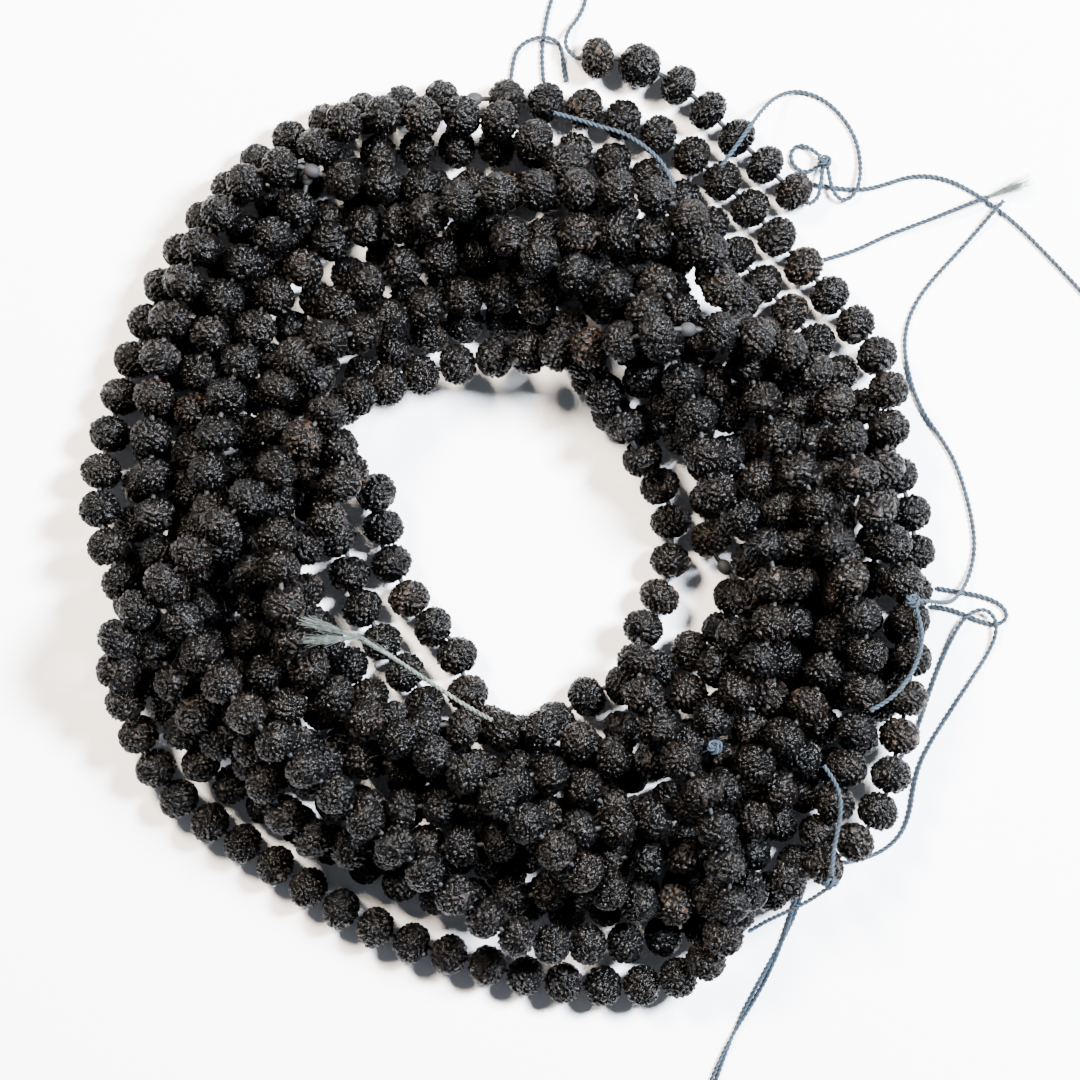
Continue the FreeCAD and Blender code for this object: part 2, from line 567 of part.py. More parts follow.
def thread_path(points, reach_limit):
    """Straight runs through the points with an arc at each turn, and the least arc radius."""
    edges = []
    least = math.inf
    start = FreeCAD.Vector(*points[0])
    for before, corner, after in zip(points, points[1:], points[2:]):
        corner = FreeCAD.Vector(*corner)
        inward = corner - FreeCAD.Vector(*before)
        onward = FreeCAD.Vector(*after) - corner
        half_turn = inward.getAngle(onward) / 2
        if half_turn < STRAIGHT_ENOUGH:
            continue
        tangent = RUN_SHARE * min(inward.Length, onward.Length)
        tangent = min(tangent, reach_limit / math.tan(half_turn))
        radius = tangent / math.tan(half_turn)
        least = min(least, radius)
        inward.normalize()
        onward.normalize()
        first = corner - inward * tangent
        last = corner + onward * tangent
        inner = (onward - inward).normalize()
        crest = corner + inner * (radius / math.cos(half_turn) - radius)
        edges.append(Part.LineSegment(start, first).toShape())
        edges.append(Part.Arc(first, crest, last).toShape())
        start = last
    edges.append(Part.LineSegment(start, FreeCAD.Vector(*points[-1])).toShape())
    return Part.Wire(edges), least


def add_thread(doc, name, size, points, reach_limit=math.inf):
    """A round thread along its path; prints its bends and compares its volume."""
    path, least = thread_path(points, reach_limit)
    radius = size["thread_diameter"] / 2
    along = FreeCAD.Vector(*points[1]) - FreeCAD.Vector(*points[0])
    ring = Part.Circle(FreeCAD.Vector(*points[0]), along, radius).toShape()
    solid = path.makePipe(Part.Face(Part.Wire(ring)))
    if solid.ShapeType != "Solid":
        solid = solid.Solids[0]
    share = solid.Volume / (math.pi * radius * radius * path.Length)
    print("%s: length %.1f, tightest bend radius %.1f, volume ratio %.4f"
          % (name, path.Length, least, share))
    if not solid.isValid() or abs(share - 1) > 0.01:
        raise ValueError(name + " does not hold together")
    return add_shape(doc, name, solid)


def add_tail_knot(doc, name, centre, along):
    """A knot on a loose thread, its long way along the thread."""
    start = [middle_part - step for middle_part, step in zip(centre, along)]
    end = [middle_part + step for middle_part, step in zip(centre, along)]
    return add_knot(doc, name, "tail_knot_diameter", (start, end))


def add_tuft(doc, name, size, root, tip):
    """A frayed end: a cone that widens from the thread to the spread of its fibres."""
    root = FreeCAD.Vector(*root)
    tip = FreeCAD.Vector(*tip)
    cone = doc.addObject("Part::Cone", name)
    cone.Label = name
    cone.setExpression("Radius1", "<<sizes>>.thread_diameter / 2")
    cone.setExpression("Radius2", "<<sizes>>.tuft_diameter / 2")
    cone.Height = (tip - root).Length
    cone.Placement = FreeCAD.Placement(root, FreeCAD.Rotation(FreeCAD.Vector(0, 0, 1), tip - root))
    return cone


def add_string(doc, size, number, points, single):
    """One closed string: its beads, its thread and the knot in its widest gap."""
    gaps = list(zip(points, points[1:]))
    name = "string_%d" % number
    parts = []
    if single:
        _, bead_name, places = single
        for count, place in enumerate(places, start=1):
            bead = "%s_%d" % (bead_name, count)
            parts.append(add_bead(doc, bead, size, "bead_diameter", "bead_length", gaps[place]))
        gaps = [gap for place, gap in enumerate(gaps) if place not in places]
    parts.append(add_beads(doc, name + "_beads", size["seed"], gaps))
    knot = middle(points[-1], points[0])
    parts.append(add_knot(doc, name + "_knot", "knot_diameter", (points[-1], points[0])))
    reach = math.dist(points[-1], points[0]) / 2
    share = KNOT_OVERLAP * size["knot_length"] / reach
    start = [here + (there - here) * share for here, there in zip(knot, points[0])]
    end = [here + (there - here) * share for here, there in zip(knot, points[-1])]
    route = [tuple(start)] + points + [tuple(end)]
    parts.append(add_thread(doc, name + "_thread", size, route, IN_BEAD_REACH))
    return parts


def add_loose_end(doc, size, points):
    """The loose end: seven single beads, one of them larger, and their thread."""
    parts = []
    for place, gap in enumerate(zip(points, points[1:])):
        if place == LARGE_BEAD:
            parts.append(add_bead(doc, "large_bead", size, "large_bead_diameter",
                                  "large_bead_length", gap))
        else:
            name = "loose_bead_%d" % (place + 1)
            parts.append(add_bead(doc, name, size, "bead_diameter", "bead_length", gap))
    parts.append(add_thread(doc, "loose_thread", size, points, IN_BEAD_REACH))
    return parts


def seed_shape(doc, size):
    """The shape of one bead about the Z axis, for the copies on a string."""
    body = add_bead(doc, "pattern", size, "bead_diameter", "bead_length", ((0, 0, -1), (0, 0, 1)))
    doc.recompute()
    shape = body.Shape.copy()
    body.removeObjectsFromDocument()
    doc.removeObject(body.Name)
    return shape


def check_and_export(doc, parts):
    doc.recompute()
    for item in doc.Objects:
        if "Invalid" in item.State or "Error" in item.State:
            raise ValueError(item.Label + " did not build")
    for part in parts:
        if part.Shape.isNull() or not part.Shape.isValid():
            raise ValueError(part.Label + " has no valid shape")
    os.makedirs("parts", exist_ok=True)
    for part in parts:
        part.Shape.exportStep("parts/%s.step" % part.Label)
    print("%d parts written" % len(parts))


def main():
    doc = FreeCAD.newDocument("mala_beads")
    size = lay_sizes(make_sheet(doc))
    strings = centre_pile(lay_strings(size), size)
    loose = strings.pop()
    size["seed"] = seed_shape(doc, size)
    singles = {single[0]: single for single in (FREE_RUN, INNER_EDGE)}
    parts = []
    for number, points in enumerate(strings, start=1):
        parts += add_string(doc, size, number, points, singles.get(number))
    parts += add_loose_end(doc, size, loose)
    for name, points in THREADS:
        parts.append(add_thread(doc, name, size, points))
    for name, centre, along in TAIL_KNOTS:
        parts.append(add_tail_knot(doc, name, centre, along))
    for name, root, tip in TUFTS:
        parts.append(add_tuft(doc, name, size, root, tip))
    check_and_export(doc, parts)


main()
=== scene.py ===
# %% [markdown]
# # Mala prayer beads
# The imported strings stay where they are. Each seed is given its wrinkled skin, each loose thread its
# twisted plies and each frayed end its fibres; a white ground, a camera and soft light come first.

# %%
import bpy
import json
import math
import numpy as np
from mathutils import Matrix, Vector, noise


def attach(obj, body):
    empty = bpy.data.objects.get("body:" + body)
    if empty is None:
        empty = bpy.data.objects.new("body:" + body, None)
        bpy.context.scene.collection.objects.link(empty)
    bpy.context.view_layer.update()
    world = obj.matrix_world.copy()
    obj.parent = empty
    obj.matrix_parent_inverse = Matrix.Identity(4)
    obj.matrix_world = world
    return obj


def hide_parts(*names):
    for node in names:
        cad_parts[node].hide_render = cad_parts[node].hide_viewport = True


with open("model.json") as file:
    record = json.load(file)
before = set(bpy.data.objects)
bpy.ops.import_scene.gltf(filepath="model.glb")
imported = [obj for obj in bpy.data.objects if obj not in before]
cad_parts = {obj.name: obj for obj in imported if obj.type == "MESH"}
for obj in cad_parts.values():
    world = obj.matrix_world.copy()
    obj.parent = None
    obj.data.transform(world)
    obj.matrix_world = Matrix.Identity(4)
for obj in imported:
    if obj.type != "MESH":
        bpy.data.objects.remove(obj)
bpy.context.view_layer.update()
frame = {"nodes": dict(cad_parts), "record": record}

MM = 0.001

# %% [markdown]
# ## View
# Straight down on the pile from well above it, so that rows at different heights keep their places.
# The ground is 201 mm wide in view, its middle a little to the right of and below the pile's middle.

# %%
VIEW_WIDTH = 201.0 * MM
VIEW_MIDDLE = (5.9 * MM, -3.4 * MM)
CAMERA_HEIGHT = 0.9


def add_camera():
    data = bpy.data.cameras.new("view_down")
    data.sensor_width = 36.0
    data.lens = 36.0 * (CAMERA_HEIGHT - 8 * MM) / VIEW_WIDTH
    camera = bpy.data.objects.new("view_down", data)
    camera.location = (VIEW_MIDDLE[0], VIEW_MIDDLE[1], CAMERA_HEIGHT)
    bpy.context.collection.objects.link(camera)
    bpy.context.scene.camera = camera
    return camera


camera = add_camera()
print("camera lens", round(camera.data.lens, 1))

# %% [markdown]
# ## Materials
# Everything is worked out in shader nodes from object positions in metres. A helper adds one node and
# another turns a written colour into the linear values that shaders take.

# %%
def linear(code):
    """An sRGB hex colour as linear red, green, blue and opacity."""
    parts = [int(code[place:place + 2], 16) / 255 for place in (1, 3, 5)]
    bent = [part / 12.92 if part <= 0.04045 else ((part + 0.055) / 1.055) ** 2.4 for part in parts]
    return (*bent, 1.0)


def add_node(tree, kind, settings=None, **sockets):
    node = tree.nodes.new(kind)
    for name, value in (settings or {}).items():
        setattr(node, name, value)
    for name, value in sockets.items():
        join(tree, value, node.inputs[name])
    return node


def join(tree, value, socket):
    """Feeds a socket from another socket or sets it to a number or colour."""
    if isinstance(value, bpy.types.NodeSocket):
        tree.links.new(value, socket)
    else:
        socket.default_value = value


def maths(tree, operation, *values):
    node = tree.nodes.new("ShaderNodeMath")
    node.operation = operation
    for value, socket in zip(values, node.inputs):
        join(tree, value, socket)
    return node.outputs[0]


def new_material(name):
    material = bpy.data.materials.new(name)
    material.use_nodes = True
    tree = material.node_tree
    surface = tree.nodes["Principled BSDF"]
    return material, tree, surface


def colour_ramp(tree, factor, stops):
    ramp = add_node(tree, "ShaderNodeValToRGB", Fac=factor)
    bar = ramp.color_ramp.elements
    while len(bar) < len(stops):
        bar.new(0.5)
    for element, (place, code) in zip(bar, stops):
        element.position = place
        element.color = linear(code)
    return ramp.outputs["Color"]


# %% [markdown]
# Rudraksha seed: a dried fruit stone, almost black brown and a little glossy. Its colour grows lighter and
# greyer the higher the skin stands. This is partly handling that rubs the ridges, and partly painted sheen on
# the ridges and painted shade in the furrows. The two mesh values say how high the skin is and which bead it
# is on.

# %%
def seed_material():
    material, tree, surface = new_material("rudraksha_seed")
    ridge = add_node(tree, "ShaderNodeAttribute", {"attribute_name": "ridge"}).outputs["Fac"]
    tone = add_node(tree, "ShaderNodeAttribute", {"attribute_name": "tone"}).outputs["Fac"]
    place = add_node(tree, "ShaderNodeTexCoord").outputs["Object"]
    grain = add_node(tree, "ShaderNodeTexNoise", Vector=place, Scale=1500.0, Detail=3.0, Roughness=0.55)
    knobs = add_node(tree, "ShaderNodeTexVoronoi", {"feature": "SMOOTH_F1"},
                     Vector=place, Scale=1050.0, Smoothness=0.35)
    # Partly wear, partly painted light: the colour is lighter on the ridges as painted sheen and darkest in
    # the furrows as painted shade.
    wear_and_sheen = maths(tree, "MULTIPLY_ADD", grain.outputs["Fac"], 0.35, ridge)
    dark = colour_ramp(tree, wear_and_sheen,
                       [(0.0, "#010101"), (0.6, "#030303"), (0.88, "#080808"), (1.0, "#201e1d")])
    warm = colour_ramp(tree, wear_and_sheen,
                       [(0.0, "#010101"), (0.6, "#050403"), (0.88, "#0d0a08"), (1.0, "#291f18")])
    mixed = add_node(tree, "ShaderNodeMix", {"data_type": "RGBA"})
    tree.links.new(tone, mixed.inputs["Factor"])
    tree.links.new(dark, mixed.inputs["A"])
    tree.links.new(warm, mixed.inputs["B"])
    tree.links.new(mixed.outputs["Result"], surface.inputs["Base Color"])
    relief = maths(tree, "SUBTRACT", grain.outputs["Fac"], knobs.outputs["Distance"])
    bump = add_node(tree, "ShaderNodeBump", Height=relief, Strength=0.85, Distance=0.00045)
    tree.links.new(bump.outputs["Normal"], surface.inputs["Normal"])
    surface.inputs["Roughness"].default_value = 0.22
    surface.inputs["Specular IOR Level"].default_value = 0.11
    return material


def thread_material(name, dark, light):
    """Twisted polyester thread, dull, with a slow change of shade along it."""
    material, tree, surface = new_material(name)
    place = add_node(tree, "ShaderNodeTexCoord").outputs["Object"]
    shade = add_node(tree, "ShaderNodeTexNoise", Vector=place, Scale=900.0, Detail=3.0)
    colour = colour_ramp(tree, shade.outputs["Fac"], [(0.3, dark), (0.7, light)])
    tree.links.new(colour, surface.inputs["Base Color"])
    surface.inputs["Roughness"].default_value = 0.75
    return material


def ground_material():
    material, _, surface = new_material("white_ground")
    surface.inputs["Base Color"].default_value = linear("#fbfbfc")
    surface.inputs["Roughness"].default_value = 0.9
    surface.inputs["Specular IOR Level"].default_value = 0.1
    return material


SEED = seed_material()
THREAD = thread_material("slate_thread", "#050d15", "#142c3c")
FRAYED = thread_material("frayed_thread", "#1d2523", "#59645c")
# Painted shade: darker thread colours for the threads that lie in the gaps between the seeds.
PAINTED_SHADE_THREAD = thread_material("painted_shade_thread", "#030405", "#0b0f12")
print("materials", len(bpy.data.materials))

# %% [markdown]
# ## Where every bead is
# A packed string is one mesh of many separate seeds. Faces that share corners are one seed; its drilled
# hole's faces look inwards, so their corners give the line of the thread through it.

# %%
def mesh_arrays(mesh):
    points = np.empty(len(mesh.vertices) * 3)
    mesh.vertices.foreach_get("co", points)
    mesh.calc_loop_triangles()
    corners = np.empty(len(mesh.loop_triangles) * 3, dtype=np.int64)
    mesh.loop_triangles.foreach_get("vertices", corners)
    return points.reshape(-1, 3), corners.reshape(-1, 3)


def weld(points, corners):
    """Corners that lie at the same place made one."""
    keys, back = np.unique(np.round(points / (0.002 * MM)).astype(np.int64), axis=0, return_inverse=True)
    return keys * (0.002 * MM), back.reshape(-1)[corners]


def seed_labels(count, corners):
    """For each point the lowest number among all the points joined to it."""
    labels = np.arange(count)
    while True:
        before = labels.copy()
        low = labels[corners].min(axis=1)
        for column in range(3):
            np.minimum.at(labels, corners[:, column], low)
        labels = labels[labels]
        if np.array_equal(before, labels):
            return labels


def find_beads(node):
    """Middle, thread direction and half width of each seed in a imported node."""
    points, corners = weld(*mesh_arrays(frame["nodes"][node].data))
    labels = seed_labels(len(points), corners)
    beads = []
    for label in np.unique(labels[corners[:, 0]]):
        faces = corners[labels[corners[:, 0]] == label]
        own = points[np.unique(faces)]
        middle = (own.min(axis=0) + own.max(axis=0)) / 2
        a, b, c = (points[faces[:, k]] for k in range(3))
        normal = np.cross(b - a, c - a)
        inward = np.einsum("ij,ij->i", normal, (a + b + c) / 3 - middle) < 0
        rim = points[np.unique(faces[inward])]
        middle = rim.mean(axis=0)
        _, _, axes = np.linalg.svd(rim - middle)
        along = axes[0]
        span = np.abs((rim - middle) @ along).max()
        out = own - middle
        width = np.linalg.norm(out - np.outer(out @ along, along), axis=1).max()
        beads.append((middle, along, width, span))
    return beads


bodies_of = {}
for body, members in frame["record"]["behaviour"]["bodies"].items():
    for node in members:
        bodies_of[node] = body
bead_nodes = [node for node in bodies_of if "bead" in node and "tail" not in node]
beads_in = {node: find_beads(node) for node in bead_nodes}
print("seeds", sum(len(found) for found in beads_in.values()), "in", len(bead_nodes), "nodes")

# %% [markdown]
# ## The seed's skin
# A seed could be a sphere with a wrinkled texture, but its outline is visibly rough, so the wrinkles are
# real: a cube blown up to a ball gives even faces, and knobs that partly grow together stand out of it
# with furrows between. Sixteen skins, each turned by chance about its thread, hide the repeats.

# %%
FACE_STEPS = 20
SKINS = 16
KNOBS = 170                     # each about 1.1 mm across
JOINED_SHARE = 0.45
FURROW_WIDTH = 0.17             # in units of the seed's radius
FURROW_DEPTH = 0.95 * MM
SEED_STRETCH = 1.12             # the wrinkled skin bulges a little past the drilled faces
LONE_STRETCH = 1.03             # less on a single seed, which turns beside its neighbours
SKIN_SIZE = 0.99
RANDOM = np.random.default_rng(108)


def ball_grid(steps):
    """Points and four-sided faces of a cube blown up to a unit ball, and the face charts."""
    ticks = np.tan(np.linspace(-math.pi / 4, math.pi / 4, steps + 1))
    u, v = np.meshgrid(ticks, ticks, indexing="ij")
    one = np.ones_like(u)
    sides = [(one, u, v), (-one, v, u), (v, one, u), (u, -one, v), (u, v, one), (v, u, -one)]
    points = np.concatenate([np.stack(side, axis=-1).reshape(-1, 3) for side in sides])
    points /= np.linalg.norm(points, axis=1, keepdims=True)
    base = np.arange((steps + 1) ** 2).reshape(steps + 1, steps + 1)
    quad = np.stack([base[:-1, :-1], base[1:, :-1], base[1:, 1:], base[:-1, 1:]], axis=-1).reshape(-1, 4)
    quads = np.concatenate([quad + side * (steps + 1) ** 2 for side in range(6)])
    chart = np.linspace(0.0, 1.0, steps + 1)
    cu, cv = np.meshgrid(chart, chart, indexing="ij")
    own = np.stack([cu, cv], axis=-1).reshape(-1, 2)[quad.reshape(-1)]
    charts = np.concatenate([own * 0.94 + 0.03 + np.array([side % 3, side // 3]) for side in range(6)])
    charts /= np.array([3.0, 2.0])
    keys, back = np.unique(np.round(points * 1e6).astype(np.int64), axis=0, return_inverse=True)
    welded = np.zeros((len(keys), 3))
    welded[back.reshape(-1)] = points
    return welded, back.reshape(-1)[quads], charts


def knob_middles(chance):
    """Middles of the knobs on a unit ball: a spiral of even steps, each nudged by chance."""
    step = np.arange(KNOBS) + 0.5
    up = 1 - 2 * step / KNOBS
    turn = step * math.pi * (1 + 5 ** 0.5)
    level = np.sqrt(1 - up ** 2)
    middles = np.stack([level * np.cos(turn), level * np.sin(turn), up], axis=1)
    middles += chance.normal(0, 0.034, middles.shape)
    return middles / np.linalg.norm(middles, axis=1, keepdims=True)


def knob_clans(middles, chance):
    """Some knobs grow together with a neighbour into a short worm."""
    clans = np.arange(KNOBS)
    apart = np.linalg.norm(middles[:, None] - middles[None], axis=2) + 9 * np.eye(KNOBS)
    for knob in range(KNOBS):
        if chance.random() < JOINED_SHARE:
            other = np.argsort(apart[knob])[chance.integers(3)]
            clans[clans == clans[knob]] = clans[other]
    return clans


def skin(points, chance):
    """Height of the skin at each point, from 0 in a furrow to 1 on a knob."""
    middles = knob_middles(chance)
    clans = knob_clans(middles, chance)
    shift = Vector(chance.uniform(-40, 40, 3))
    warp = np.array([noise.noise_vector(Vector(point) * 3.0 + shift)[:] for point in points])
    apart = np.linalg.norm((points + warp * 0.10)[:, None] - middles[None], axis=2)
    nearest = apart.argmin(axis=1)
    first = apart.min(axis=1)
    foreign = np.where(clans[None] == clans[nearest][:, None], 9.0, apart).min(axis=1)
    rise = np.clip((foreign - first) / FURROW_WIDTH, 0, 1) ** 0.7
    taller = chance.uniform(0.72, 1.0, KNOBS)[clans[nearest]]
    return rise * taller


def make_skins():
    points, quads, charts = ball_grid(FACE_STEPS)
    return points, quads, charts, np.array([skin(points, RANDOM) for _ in range(SKINS)])


ball, ball_quads, ball_charts, skin_heights = make_skins()
print("skin points", len(ball), "faces", len(ball_quads), "mean height", round(float(skin_heights.mean()), 2))

# %% [markdown]
# Each skin is stretched to its seed's own width and length, dimpled where the thread goes in, and set
# on the seed's line. A string's 108 seeds go into four pieces, so that no piece grows too heavy.

# %%
SEEDS_PER_PIECE = 27


def seed_points(bead, number, stretch):
    middle, along, width, span = bead
    heights = skin_heights[number]
    shape = np.array([width, width, span * stretch]) * SKIN_SIZE
    out = ball * shape
    away = np.hypot(out[:, 0], out[:, 1])
    hole = np.clip(1 - away / (1.3 * MM), 0, 1) ** 2
    steps = (heights - 0.85) * FURROW_DEPTH
    out += ball * steps[:, None]
    out[:, 2] -= np.sign(out[:, 2]) * hole * 0.5 * MM
    turn = RANDOM.uniform(0, 2 * math.pi)
    flip = 1 if RANDOM.random() < 0.5 else -1
    side = np.cross(along, [0.0, 0.0, 1.0])
    if np.linalg.norm(side) < 0.05:
        side = np.array([1.0, 0.0, 0.0])
    side /= np.linalg.norm(side)
    up = np.cross(along, side)
    across = math.cos(turn) * side + math.sin(turn) * up
    other = np.cross(along * flip, across)
    axes = np.stack([across, other, along * flip])
    return middle + out @ axes


def seed_piece(name, node, beads):
    count = len(beads)
    stretch = SEED_STRETCH if count > 1 else LONE_STRETCH
    grid = math.ceil(math.sqrt(count))
    points = np.empty((count, len(ball), 3))
    ridge = np.empty((count, len(ball)))
    tone = np.empty((count, len(ball)))
    charts = np.empty((count, len(ball_charts), 2))
    for number, bead in enumerate(beads):
        kind = RANDOM.integers(SKINS)
        points[number] = seed_points(bead, kind, stretch)
        ridge[number] = skin_heights[kind] * RANDOM.uniform(0.6, 0.95)
        tone[number] = RANDOM.uniform(0.0, 1.0) ** 1.5
        charts[number] = (ball_charts + np.array([number % grid, number // grid])) / grid
    quads = (ball_quads[None] + (np.arange(count) * len(ball))[:, None, None]).reshape(-1, 4)
    mesh = bpy.data.meshes.new(name)
    mesh.vertices.add(points.shape[0] * points.shape[1])
    mesh.vertices.foreach_set("co", points.reshape(-1))
    mesh.loops.add(quads.size)
    mesh.loops.foreach_set("vertex_index", quads.reshape(-1).astype(np.int32))
    mesh.polygons.add(len(quads))
    mesh.polygons.foreach_set("loop_start", np.arange(0, quads.size, 4, dtype=np.int32))
    mesh.polygons.foreach_set("use_smooth", np.ones(len(quads), dtype=bool))
    for label, values in (("ridge", ridge), ("tone", tone)):
        layer = mesh.attributes.new(label, "FLOAT", "POINT")
        layer.data.foreach_set("value", values.reshape(-1).astype(np.float32))
    uv = mesh.uv_layers.new(name="OFBake")
    uv.data.foreach_set("uv", charts.reshape(-1).astype(np.float32))
    mesh.update(calc_edges=True)
    mesh.validate()
    mesh.materials.append(SEED)
    piece = bpy.data.objects.new(name, mesh)
    bpy.context.collection.objects.link(piece)
    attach(piece, bodies_of[node])
    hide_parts(node)
    return piece


seed_pieces = 0
for node, beads in beads_in.items():
    groups = [beads[start:start + SEEDS_PER_PIECE] for start in range(0, len(beads), SEEDS_PER_PIECE)]
    for number, group in enumerate(groups, start=1):
        name = node.replace("beads", "seeds") if len(beads) > 1 else node + "_skin"
        seed_piece("%s_%d" % (name, number) if len(groups) > 1 else name, node, group)
        seed_pieces += 1
print("seed pieces", seed_pieces)

# %% [markdown]
# ## Threads
# Each loose thread is laid along a smooth curve through the same route as its packed tube. Two plies
# wind round that curve; a plain round tube would lose the rope-like edge that shows how it is made.

# %%
PLY_RADIUS = 0.245 * MM
PLY_OFFSET = 0.205 * MM
TWIST_LENGTH = 2.1 * MM

ROUTES = {
    "top_loop": [
        (12.9, 86.6, 4.0), (10.6, 88.2, 3.6), (10.8, 91.6, 2.0), (13.2, 94.6, 0.6), (14.8, 98.4, 0.5),
        (13.4, 102.0, 0.5), (9.8, 101.8, 0.5), (8.0, 98.0, 0.5), (7.0, 94.0, 0.5), (6.4, 90.0, 0.5),
        (6.2, 86.4, 0.5), (6.6, 82.6, 0.5)],
    "small_loop": [
        (0.4, 82.8, 0.5), (0.8, 86.4, 0.5), (1.8, 89.0, 0.6), (4.2, 90.6, 1.2), (7.0, 91.0, 1.6),
        (9.4, 90.0, 1.0), (10.2, 87.6, 0.6), (10.2, 85.4, 0.5), (10.8, 82.6, 0.5)],
    "cross_thread": [
        (8.5, 76.0, 9.0), (12.5, 75.0, 8.6), (17.0, 73.5, 8.6), (21.0, 72.5, 8.6), (24.5, 70.5, 8.6),
        (27.5, 68.0, 8.8), (29.5, 65.5, 9.0), (31.0, 62.0, 9.0)],
    "slack_loop": [
        (39.5, 66.0, 9.4), (42.4, 69.8, 9.2), (45.0, 73.6, 8.4), (47.6, 77.2, 5.6), (50.6, 80.0, 2.2),
        (54.4, 81.0, 0.5), (58.8, 79.6, 0.5), (62.4, 76.4, 0.5), (65.0, 72.4, 0.5), (66.0, 68.2, 0.6),
        (66.0, 64.6, 1.5), (65.0, 61.4, 1.7), (62.8, 60.0, 1.4), (60.9, 61.6, 1.7), (60.2, 64.2, 1.8),
        (59.8, 66.4, 1.6)],
    "end_bead_tail": [
        (56.2, 59.4, 4.0), (57.8, 60.2, 3.4), (58.4, 62.6, 2.6), (58.7, 65.0, 2.0), (59.0, 66.6, 1.8)],
    "tangle_loop": [
        (58.4, 68.6, 1.6), (56.6, 70.2, 1.0), (54.6, 70.8, 0.6), (53.0, 69.6, 0.5), (53.0, 67.6, 0.5),
        (54.4, 66.0, 0.5), (56.0, 65.6, 0.6), (57.4, 66.2, 1.0), (58.4, 67.0, 1.5)],
    "long_tail": [
        (56.4, 63.4, 0.5), (59.6, 63.0, 0.5), (63.2, 62.4, 0.5), (67.2, 62.4, 0.5), (71.0, 63.4, 0.5),
        (75.0, 64.8, 0.5), (79.4, 65.0, 0.5), (83.6, 63.8, 0.5), (87.6, 61.6, 0.5), (91.4, 59.0, 0.5),
        (95.6, 55.6, 0.5), (99.8, 51.4, 0.5), (104.2, 46.8, 0.5), (108.6, 42.0, 0.5),
        (112.6, 37.6, 0.5)],
    "frayed_tail": [
        (59.2, 49.2, 0.5), (62.0, 50.0, 0.5), (65.2, 51.0, 0.5), (68.2, 52.4, 0.6), (71.4, 53.9, 0.8),
        (75.0, 55.2, 1.1), (78.8, 56.6, 1.4), (82.6, 58.1, 1.7), (86.4, 59.6, 2.0), (89.6, 60.8, 2.3)],
    "right_tail": [
        (92.8, 60.2, 1.7), (90.4, 57.6, 1.6), (87.6, 54.2, 0.8), (84.2, 50.4, 0.5), (80.4, 46.4, 0.5),
        (77.0, 42.2, 0.5), (74.8, 37.6, 0.5), (74.2, 32.8, 0.5), (75.0, 28.2, 0.5), (76.2, 24.0, 0.5),
        (78.2, 19.8, 0.5), (81.0, 16.0, 0.5), (83.6, 11.8, 0.5), (85.4, 6.8, 0.5), (86.8, 1.4, 0.5),
        (87.6, -4.2, 0.5), (86.8, -9.2, 0.8), (85.2, -12.6, 2.4), (83.4, -14.4, 5.6),
        (81.8, -15.0, 9.4), (80.2, -15.0, 13.2), (78.4, -14.8, 16.2), (75.6, -14.6, 17.3)],
    "side_loop": [
        (80.4, -12.4, 0.5), (83.2, -12.9, 0.5), (86.4, -13.4, 0.5), (89.8, -14.2, 0.5),
        (92.6, -15.6, 0.5), (93.8, -17.8, 0.5), (92.0, -19.4, 0.5), (88.8, -18.8, 0.5),
        (85.6, -17.4, 0.5), (82.4, -16.2, 0.5), (79.2, -15.8, 0.5)],
    "long_loop": [
        (70.6, -48.0, 0.5), (73.6, -44.4, 0.5), (76.0, -40.6, 0.5), (77.6, -36.4, 0.5),
        (79.0, -32.0, 0.5), (80.6, -27.6, 0.5), (82.4, -23.4, 0.8), (84.2, -19.8, 1.6),
        (86.4, -17.0, 1.7), (89.4, -16.2, 1.7), (91.4, -18.2, 1.7), (91.4, -21.4, 1.3),
        (89.8, -25.0, 0.5), (87.2, -29.0, 0.5), (84.6, -33.0, 0.5), (82.0, -37.0, 0.5),
        (79.4, -41.0, 0.5), (77.2, -45.2, 0.5), (76.0, -49.8, 0.5), (75.4, -54.4, 0.5),
        (73.8, -58.6, 0.5), (70.6, -61.6, 0.5), (66.6, -63.2, 0.5), (62.6, -64.0, 0.5),
        (59.2, -64.2, 0.5)],
    "edge_thread_1": [
        (75.1, -15.7, 17.0), (76.1, -18.8, 17.0), (76.4, -22.0, 16.8), (75.6, -25.4, 16.8),
        (74.0, -28.6, 17.2), (71.8, -31.4, 18.0), (69.2, -33.4, 18.8), (66.6, -34.8, 19.2)],
    "edge_thread_2": [
        (58.2, -45.0, 17.0), (60.4, -48.0, 17.2), (61.4, -51.4, 16.8), (61.2, -55.0, 16.6),
        (60.4, -58.6, 17.0), (59.8, -62.0, 17.6), (59.6, -65.4, 17.8)],
    "knot_tail": [
        (58.9, -67.5, 17.1), (56.2, -69.6, 15.6), (53.4, -71.2, 14.0), (50.4, -72.8, 12.0),
        (47.4, -74.4, 10.2), (44.6, -76.2, 9.4)],
    "bottom_tail": [
        (54.8, -69.4, 0.5), (53.8, -72.6, 0.5), (52.4, -76.4, 0.5), (50.6, -80.4, 0.5),
        (48.4, -84.8, 0.5), (45.8, -89.6, 0.5), (43.0, -94.4, 0.5), (40.6, -99.4, 0.5),
        (38.6, -104.4, 0.5), (37.0, -109.0, 0.5)],
    "lay_tail": [
        (-3.0, -36.6, 16.4), (-6.4, -34.8, 16.0), (-10.0, -32.6, 15.4), (-13.6, -30.2, 15.4),
        (-17.2, -27.8, 16.4), (-20.6, -25.4, 18.6), (-24.0, -23.2, 21.6), (-27.2, -21.2, 25.0)],
}


